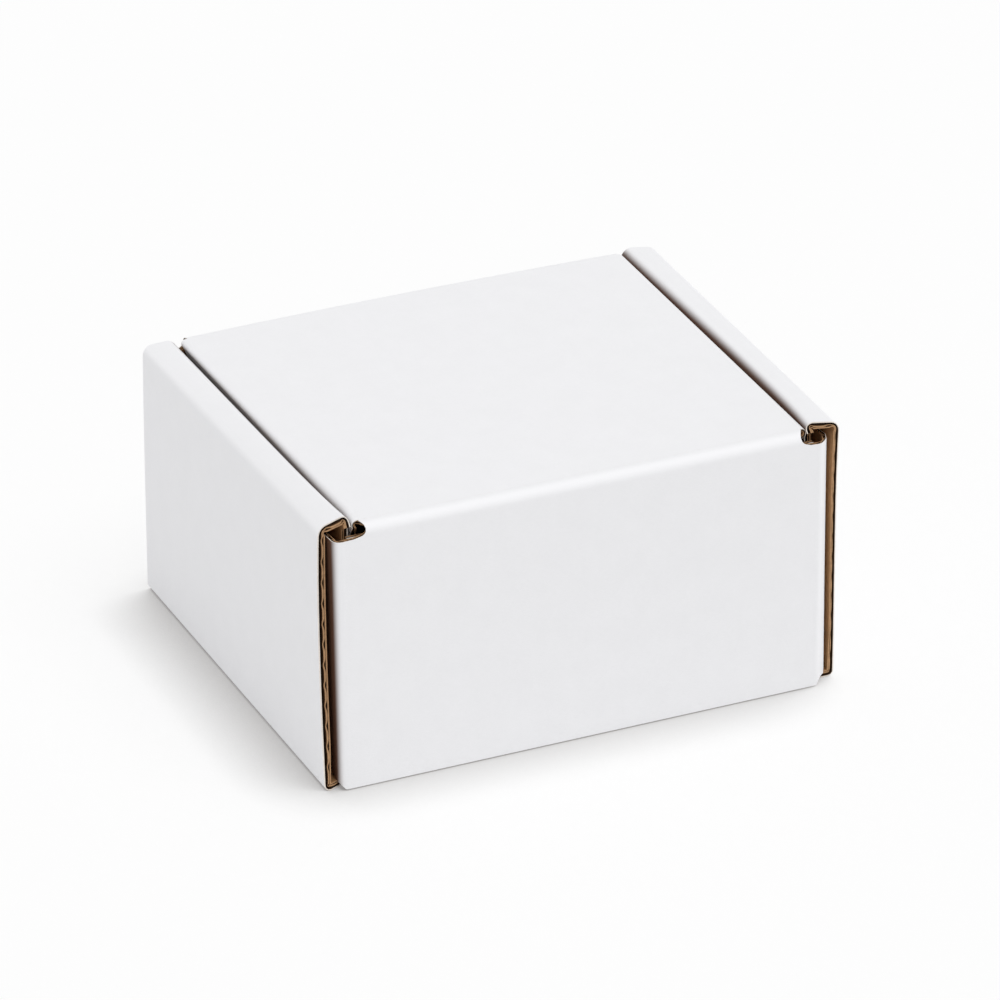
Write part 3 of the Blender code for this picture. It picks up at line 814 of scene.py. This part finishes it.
def dust_flaps(at):
    """The dust flaps, turned down from the sides of the lid."""
    depth, taper = DUST_FLAP_DEPTH, DUST_FLAP_TAPER
    path = [(SEAM, 0), fold(at.lid_edge), (depth - at.lid_edge, 0)]
    near, far = dust_flap_ends(at)
    lid_back = at.tray_back - at.crease
    lid = centre_chain(at)[1][6]
    start = SEAM + at.lid_edge * pi / 2
    end = start + depth - at.lid_edge
    x = at.lid_half - at.lid_edge - SEAM
    crush = bpy.context.scene.mailer_board.crush
    dust = Chain((x, 0, at.lid_top), (0, -1, 0), (1, 0, 0), path, False,
                 (x, lid + lid_back, 1), "panel", crush, LID_GAP_SHADE_FROM)
    low, high = -(lid_back - near), -(lid_back - far)
    step = at.board + END_ROOM
    down = start + (at.lid_top - at.lid_edge) - at.shoulder + END_ROOM
    rows = [(0, low, high), (start, low, high)]
    rows += rounded_end(low + step, high - step, end, DUST_FLAP_ROUNDING, down, taper, taper)
    return both_sides([Ribbon(dust, rows)])


# Outline of the front crease's ends: share of the way round the fold, and how far it stands in
# from the lid's own side. It draws a round hole at each front corner of the lid.
CREASE_END = ((0.0, 0.0), (0.2, 0.00035), (0.4, 0.0006), (0.6, 0.0006), (0.8, 0.00025),
              (0.92, -0.0002), (1.0, -0.0007))
# The flap's upper edge beside the crease: share of its drop, and how far out from the lid's side
SHOULDER = ((0.4, 0.0016), (0.8, 0.0026))


def crease_centre(at):
    """The front crease, from the last of the lid to the first of the front flap."""
    chain, starts = centre_chain(at)
    chain = chain._replace(group="flap", crush=CREASE_CRUSH, wave=CREASE_WAVE)
    half = at.lid_half - at.lid_edge
    lid_end = starts[6] + dust_flap_ends(at)[1]
    turn = starts[8] - starts[7]
    rows = [(lid_end, half)]
    rows += [(starts[7] + share * turn, half - inset) for share, inset in CREASE_END]
    rows += [(starts[8] + share * NOTCH_DEPTH, half + out) for share, out in SHOULDER]
    rows.append((starts[8] + NOTCH_DEPTH, flap_half(at)))
    return [span(chain, *rows)]


def flap_half(at):
    """Half of the front flap's flat width, between the folds into its ears."""
    return at.ear_face - at.ear_radius


def flap_centre(at):
    """The front flap between its ears."""
    chain, starts = centre_chain(at)
    wide = flap_half(at) - SEAM
    return [span(chain._replace(group="flap"), (starts[8] + NOTCH_DEPTH, wide), (starts[9], wide))]


def ears(at):
    """The locking ears, turned back from the sides of the front flap.

    The foot of the fold is cut off along a line that looks straight from the front: its height
    grows with the sine of the way round the fold, from CHAMFER_START on.
    """
    front, radius = at.front_crease, at.ear_radius
    flap_start = centre_chain(at)[1][8]
    top = at.lid_top - front - NOTCH_DEPTH
    path = [(SEAM, 0), fold(radius), (EAR_LENGTH - radius, 0)]
    start = SEAM + radius * pi / 2
    end = start + EAR_LENGTH - radius
    x = flap_half(at) - SEAM
    ear = Chain((x, at.flap_front, 0), (0, 0, -1), (1, 0, 0), path, False,
                (x, flap_start + at.lid_top - front, 1), "flap", gap_from=0.0)
    rows = [(0, -top, -FLOOR_ROOM)]
    for step in range(FOLD_STEPS):
        turn = pi / 2 * step / FOLD_STEPS
        rise = max(0.0, (sin(turn) - CHAMFER_START) / (1 - CHAMFER_START)) * EAR_FOOT_RISE
        rows.append((SEAM + radius * turn, -top, -FLOOR_ROOM - rise))
    rows += rounded_end(-top, -FLOOR_ROOM - EAR_FOOT_RISE, end, EAR_ROUNDING, start,
                        EAR_HEAD_TAPER, EAR_FOOT_TAPER - EAR_FOOT_RISE)
    right, left = both_sides([Ribbon(ear, rows)])
    # painted shade: the left ear's whole face has the dark tint of its gap, the right ear's stays
    # white
    return [right._replace(chain=right.chain._replace(gap_from=NO_GAP_SHADE)), left]


def tray_ribbons():
    """Every ribbon that stays with the tray."""
    at = places()
    return tray_centre(at) + side_wall(at) + corner_flaps(at) + dust_flaps(at)


def flap_ribbons():
    """Every ribbon that swings with the front flap."""
    at = places()
    return flap_centre(at) + ears(at)


def linear(hex_colour):
    """An sRGB hex colour as linear light: each channel c goes to ((c + 0.055) / 1.055) ^ 2.4, or to
    c / 12.92 where it is very dark."""
    channels = np.array([int(hex_colour[at:at + 2], 16) for at in (1, 3, 5)]) / 255
    light = np.where(channels > 0.04045, ((channels + 0.055) / 1.055) ** 2.4, channels / 12.92)
    return (*light.tolist(), 1.0)


def add_node(tree, kind, inputs=None, **settings):
    """A node with its settings, and its inputs set to values or linked to other nodes' outputs."""
    node = tree.nodes.new(kind)
    for name, value in settings.items():
        setattr(node, name, value)
    for name, value in (inputs or {}).items():
        if isinstance(value, bpy.types.NodeSocket):
            tree.links.new(value, node.inputs[name])
        else:
            node.inputs[name].default_value = value
    return node


def new_material(name):
    """An empty node material, or the one already made under that name."""
    known = bpy.data.materials.get(name)
    if known:
        return known, None
    material = bpy.data.materials.new(name)
    material.use_nodes = True
    material.node_tree.nodes.clear()
    return material, material.node_tree


CREASE_HIGHLIGHT = 0.75             # share of the painted highlight, a paler white, in the middle of a crease
FLUTE_TRACE = 0.000008          # depth of the flutes' trace in the white face
WHITE_NAP = 0.00003             # depth of the fibres in the white face


def paper_pattern(tree, per_metre, detail, roughness, low, high):
    """Specks over the blank, so many per metre along its X and Y: the bare pattern, and the same as
    a share of the paper's colour, from low to high."""
    blank = add_node(tree, "ShaderNodeUVMap", uv_map="blank").outputs[0]
    way = add_node(tree, "ShaderNodeMapping",
                   {"Vector": blank, "Scale": (*per_metre, 1.0)}).outputs[0]
    specks = add_node(tree, "ShaderNodeTexNoise",
                      {"Vector": way, "Scale": 1.0, "Detail": detail, "Roughness": roughness},
                      noise_dimensions="2D").outputs[0]
    share = add_node(tree, "ShaderNodeMapRange",
                     {"Value": specks, "From Min": 0.3, "From Max": 0.7, "To Min": low,
                      "To Max": high}).outputs[0]
    return specks, share


def paper_colour(tree, hex_colour, shade, grain):
    """A colour times two shares of it."""
    both = add_node(tree, "ShaderNodeMath", {0: shade, 1: grain}, operation="MULTIPLY").outputs[0]
    return add_node(tree, "ShaderNodeVectorMath",
                    {0: linear(hex_colour)[:3], "Scale": both}, operation="SCALE").outputs[0]


def paper_surface(tree, colour, rough, bump, gloss):
    """The output of a paper: its colour, roughness, bump and share of plain gloss."""
    shader = add_node(tree, "ShaderNodeBsdfPrincipled",
                      {"Base Color": colour, "Roughness": rough, "Normal": bump,
                       "IOR": 1.45, "Specular IOR Level": gloss})
    add_node(tree, "ShaderNodeOutputMaterial", {"Surface": shader.outputs[0]})


def white_liner():
    """White-topped kraft liner: a bleached ply, calendered on the machine. Matt white with a faint
    cloudy formation in 6 mm patches, fibres of about 1 by 0.3 mm, drawn coarser than real ones so
    that they show, and a trace of the flutes."""
    material, tree = new_material("white_top_liner")
    if tree is None:
        return material
    board = bpy.context.scene.mailer_board
    cloud, shade = paper_pattern(tree, (160, 160), 4.0, 0.6, 0.991, 1.006)
    fibres, grain = paper_pattern(tree, (900, 3200), 5.0, 0.65, 0.992, 1.008)
    # painted highlight: paler white along the creases, where the folds catch the light
    folded = add_node(tree, "ShaderNodeAttribute", attribute_name="crease").outputs["Fac"]
    painted_highlight = add_node(tree, "ShaderNodeMath", {0: folded, 1: CREASE_HIGHLIGHT},
                     operation="MULTIPLY").outputs[0]
    highlighted = add_node(tree, "ShaderNodeMix",
                       {"Factor": painted_highlight, "A": paper_colour(tree, board.white, shade, grain),
                        "B": linear(board.crease)}, data_type="RGBA").outputs["Result"]
    # painted shade: a dark brown tint where the white face turns into a narrow gap
    gap_shade_share = add_node(tree, "ShaderNodeAttribute", attribute_name="gap").outputs["Fac"]
    colour = add_node(tree, "ShaderNodeMix",
                      {"Factor": gap_shade_share, "A": highlighted, "B": linear(board.gap)},
                      data_type="RGBA").outputs["Result"]
    # trace of the flutes in the face
    blank = add_node(tree, "ShaderNodeUVMap", uv_map="blank").outputs[0]
    x = add_node(tree, "ShaderNodeSeparateXYZ", {"Vector": blank}).outputs[0]
    phase = add_node(tree, "ShaderNodeMath", {0: x, 1: 2 * pi / board.flute_pitch},
                     operation="MULTIPLY").outputs[0]
    ridge = add_node(tree, "ShaderNodeMath", {0: phase}, operation="COSINE").outputs[0]
    washboard = add_node(tree, "ShaderNodeBump",
                         {"Height": ridge, "Distance": FLUTE_TRACE, "Strength": 1.0}).outputs[0]
    bump = add_node(tree, "ShaderNodeBump",
                    {"Height": fibres, "Distance": WHITE_NAP, "Strength": 1.0,
                     "Normal": washboard}).outputs[0]
    rough = add_node(tree, "ShaderNodeMapRange",
                     {"Value": cloud, "To Min": 0.5, "To Max": 0.66}).outputs[0]
    paper_surface(tree, colour, rough, bump, 0.35)
    return material


# The brown papers: name, the setting with the colour, how much the fibres differ, depth of the
# nap, and roughness. They follow the white liner in the order of a piece's materials.
BROWN_PAPERS = (
    ("kraft_liner", "kraft", 0.12, 0.00004, 0.72),          # long fibres, fairly smooth
    ("fluting_in_painted_shade", "fluting", 0.08, 0.00005, 0.82),     # and the liners' undersides: darker, as painted shade inside the flutes
    ("die_cut_white_ply", "white_cut", 0.05, 0.00004, 0.8),  # bleached ply cut by the die: cream
    ("die_cut_kraft", "brown_cut", 0.14, 0.00006, 0.85),    # fibre ends that catch the light
)


def brown_paper(name, setting, streak, nap, rough):
    """Unbleached paper: fibres of about 0.8 by 0.2 mm, drawn out along the machine direction, with
    darker and lighter ones by the share streak, and a soft nap of that depth."""
    material, tree = new_material(name)
    if tree is None:
        return material
    hex_colour = getattr(bpy.context.scene.mailer_board, setting)
    shade = paper_pattern(tree, (300, 600), 4.0, 0.6, 0.9, 1.1)[1]
    fibres, grain = paper_pattern(tree, (1200, 6000), 4.0, 0.7, 1 - streak, 1 + streak)
    bump = add_node(tree, "ShaderNodeBump",
                    {"Height": fibres, "Distance": nap, "Strength": 1.0}).outputs[0]
    paper_surface(tree, paper_colour(tree, hex_colour, shade, grain), rough, bump, 0.25)
    return material


def tray_piece(name, layer):
    """One layer of everything that stays with the tray."""
    piece = make_piece(name, layer_shells(tray_ribbons(), layer))
    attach(piece, "tray")
    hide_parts("tray_and_lid")


def flap_piece(name, layer):
    """One layer of everything that swings with the front flap."""
    piece = make_piece(name, layer_shells(flap_ribbons(), layer))
    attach(piece, "flap")
    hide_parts("front_flap")


class MAILER_OT_outer_liner(bpy.types.Operator):
    """Lay the white-topped outer liner of the tray, the lid and the front flap"""

    bl_idname = "mailer.outer_liner"
    bl_label = "Outer liner"

    def execute(self, context):
        tray_piece("tray_outer_liner", WHITE)
        flap_piece("flap_outer_liner", WHITE)
        return {"FINISHED"}


class MAILER_OT_fluting(bpy.types.Operator):
    """Lay the fluted medium between the liners"""

    bl_idname = "mailer.fluting"
    bl_label = "Fluting"

    def execute(self, context):
        tray_piece("tray_fluting", MEDIUM)
        flap_piece("flap_fluting", MEDIUM)
        return {"FINISHED"}


class MAILER_OT_inner_liner(bpy.types.Operator):
    """Lay the kraft inner liner of the tray, the lid and the front flap"""

    bl_idname = "mailer.inner_liner"
    bl_label = "Inner liner"

    def execute(self, context):
        tray_piece("tray_inner_liner", KRAFT)
        flap_piece("flap_inner_liner", KRAFT)
        return {"FINISHED"}


class MAILER_OT_front_crease(bpy.types.Operator):
    """Lay all three layers of the crease between the lid and the front flap"""

    bl_idname = "mailer.front_crease"
    bl_label = "Front crease"

    def execute(self, context):
        at = places()
        shells = []
        for layer in (WHITE, MEDIUM, KRAFT):
            shells += layer_shells(crease_centre(at), layer)
        crease = make_piece("front_crease", shells)
        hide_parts("tray_and_lid", "front_flap")
        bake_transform(crease)
        return {"FINISHED"}


class MAILER_OT_stage(bpy.types.Operator):
    """Set the floor, the light and the camera"""

    bl_idname = "mailer.stage"
    bl_label = "Stage"

    def execute(self, context):
        stage = context.scene.mailer_stage
        add_floor(stage)
        add_light(context.scene, stage)
        add_camera(context.scene, stage)
        return {"FINISHED"}


FLOOR_HALF = 3.0                # half of the floor's width
FLOOR_DROP = 0.00005            # floor below the bottom of the box
SHADOW_REACH = 0.020            # how far from the box the painted shadow in the floor's colour fades out
SHADOW_WAY = (0.62, 0.25, 0.74)  # from the shadow towards what casts it, and up
SHADOW_OPEN = 0.85              # share of open air that counts as fully lit
SHADOW_SHUT = 0.12              # share of open air that counts as fully dark
LAMP_WAY = (0.25, -0.30, 1.2)   # towards the lamp
LAMP_SPREAD = radians(50)       # how broad it looks
AIM_HEIGHT = 0.028              # middle of the box above the floor


def seen_directly(tree):
    """1 for what the camera sees, itself or in a mirror or a clear piece, and 0 for the light."""
    path = add_node(tree, "ShaderNodeLightPath")
    seen = add_node(tree, "ShaderNodeMath",
                    {0: path.outputs["Is Camera Ray"], 1: path.outputs["Is Glossy Ray"]},
                    operation="MAXIMUM").outputs[0]
    return add_node(tree, "ShaderNodeMath", {0: seen, 1: path.outputs["Is Transmission Ray"]},
                    operation="MAXIMUM").outputs[0]


def add_floor(stage):
    """A plain white floor, with a soft contact shadow painted into its colour at the left and the
    front of the box, over the real shadow that its matt share takes.

    The share of its plain tone is the square root of the share of open air, as seen along
    SHADOW_WAY. The rest is the shadow's colour.
    """
    half = FLOOR_HALF
    mesh = bpy.data.meshes.new("floor")
    low = -FLOOR_DROP
    mesh.from_pydata([(-half, -half, low), (half, -half, low), (half, half, low),
                      (-half, half, low)], [], [(0, 1, 2, 3)])
    material, tree = new_material("matt_white_floor")
    way = add_node(tree, "ShaderNodeCombineXYZ",
                   dict(zip("XYZ", Vector(SHADOW_WAY).normalized()))).outputs[0]
    air = add_node(tree, "ShaderNodeAmbientOcclusion", {"Distance": SHADOW_REACH, "Normal": way},
                   samples=16).outputs["AO"]
    nearness = add_node(tree, "ShaderNodeMapRange",
                        {"Value": air, "From Min": SHADOW_SHUT, "From Max": SHADOW_OPEN}).outputs[0]
    nearness = add_node(tree, "ShaderNodeMath", {0: nearness, 1: 0.5}, operation="POWER").outputs[0]
    shown = add_node(tree, "ShaderNodeMix",
                     {"Factor": nearness, "A": linear(stage.shadow), "B": linear(stage.floor)},
                     data_type="RGBA").outputs["Result"]
    matt = add_node(tree, "ShaderNodeBsdfDiffuse", {"Color": shown}).outputs[0]
    even = add_node(tree, "ShaderNodeEmission", {"Color": shown, "Strength": 1.0}).outputs[0]
    seen = add_node(tree, "ShaderNodeMixShader", {0: stage.glow, 1: matt, 2: even}).outputs[0]
    plain = add_node(tree, "ShaderNodeBsdfDiffuse", {"Color": linear(stage.floor)}).outputs[0]
    mix = add_node(tree, "ShaderNodeMixShader", {0: seen_directly(tree), 1: plain, 2: seen})
    # clear from underneath, so that the bottom of the box can be looked at
    under = add_node(tree, "ShaderNodeNewGeometry").outputs["Backfacing"]
    clear = add_node(tree, "ShaderNodeBsdfTransparent").outputs[0]
    mix = add_node(tree, "ShaderNodeMixShader", {0: under, 1: mix.outputs[0], 2: clear})
    add_node(tree, "ShaderNodeOutputMaterial", {"Surface": mix.outputs[0]})
    mesh.materials.append(material)
    floor = bpy.data.objects.new("floor", mesh)
    bpy.context.scene.collection.objects.link(floor)


def add_light(scene, stage):
    """An even world, white to the camera, and one broad soft lamp almost straight above."""
    world = bpy.data.worlds.new("studio")
    world.use_nodes = True
    tree = world.node_tree
    tree.nodes.clear()
    white = add_node(tree, "ShaderNodeBackground", {"Color": (1, 1, 1, 1), "Strength": 1.0})
    light = add_node(tree, "ShaderNodeBackground",
                     {"Color": (1, 1, 1, 1), "Strength": stage.world})
    mix = add_node(tree, "ShaderNodeMixShader",
                   {0: seen_directly(tree), 1: light.outputs[0], 2: white.outputs[0]})
    add_node(tree, "ShaderNodeOutputWorld", {"Surface": mix.outputs[0]})
    scene.world = world

    lamp = bpy.data.lights.new("soft_lamp", "SUN")
    lamp.energy = stage.lamp
    lamp.angle = LAMP_SPREAD
    key = bpy.data.objects.new("soft_lamp", lamp)
    key.rotation_euler = Vector(LAMP_WAY).to_track_quat("Z", "Y").to_euler()
    scene.collection.objects.link(key)


def add_camera(scene, stage):
    """A long lens from the front left, looking down on the box."""
    turn = (Matrix.Rotation(-stage.yaw, 3, "Z") @ Matrix.Rotation(pi / 2 - stage.pitch, 3, "X")
            @ Matrix.Rotation(stage.roll, 3, "Z"))
    aim = Vector((0, 0, AIM_HEIGHT))
    place = aim + turn @ Vector((-stage.shift_right, -stage.shift_up, stage.distance))
    data = bpy.data.cameras.new("camera")
    data.sensor_width = 36.0
    data.lens = stage.lens
    data.clip_start = 0.1
    data.clip_end = 20.0
    camera = bpy.data.objects.new("camera", data)
    camera.matrix_world = Matrix.Translation(place) @ turn.to_4x4()
    scene.collection.objects.link(camera)
    scene.camera = camera


class MAILER_PT_box(bpy.types.Panel):
    """Sidebar panel with the settings and the steps."""

    bl_label = "Mailer box"
    bl_space_type = "VIEW_3D"
    bl_region_type = "UI"
    bl_category = "Mailer"

    def draw(self, context):
        layout = self.layout
        scene = context.scene
        for settings in (getattr(scene, name) for name in SETTINGS):
            column = layout.column(align=True)
            for name in settings.__annotations__:
                column.prop(settings, name)
        for operator in OPERATORS:
            layout.operator(operator.bl_idname)


SETTINGS = {"mailer_board": BoardSettings, "mailer_box": BoxSettings,
            "mailer_spring": SpringSettings, "mailer_stage": StageSettings}
OPERATORS = (MAILER_OT_outer_liner, MAILER_OT_fluting, MAILER_OT_inner_liner,
             MAILER_OT_front_crease, MAILER_OT_stage)
CLASSES = (*SETTINGS.values(), *OPERATORS, MAILER_PT_box)


def register():
    """Registers every class, and hangs the settings on the scene."""
    for cls in CLASSES:
        bpy.utils.register_class(cls)
    for name, settings in SETTINGS.items():
        setattr(bpy.types.Scene, name, bpy.props.PointerProperty(type=settings))


def unregister():
    """Takes away what register added."""
    for name in SETTINGS:
        delattr(bpy.types.Scene, name)
    for cls in reversed(CLASSES):
        bpy.utils.unregister_class(cls)


def main():
    """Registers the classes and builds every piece."""
    register()
    bpy.ops.mailer.outer_liner()
    bpy.ops.mailer.fluting()
    bpy.ops.mailer.inner_liner()
    bpy.ops.mailer.front_crease()
    bpy.ops.mailer.stage()
    scene = bpy.context.scene
    scene.view_settings.view_transform = "Standard"


if __name__ == "__main__":
    main()
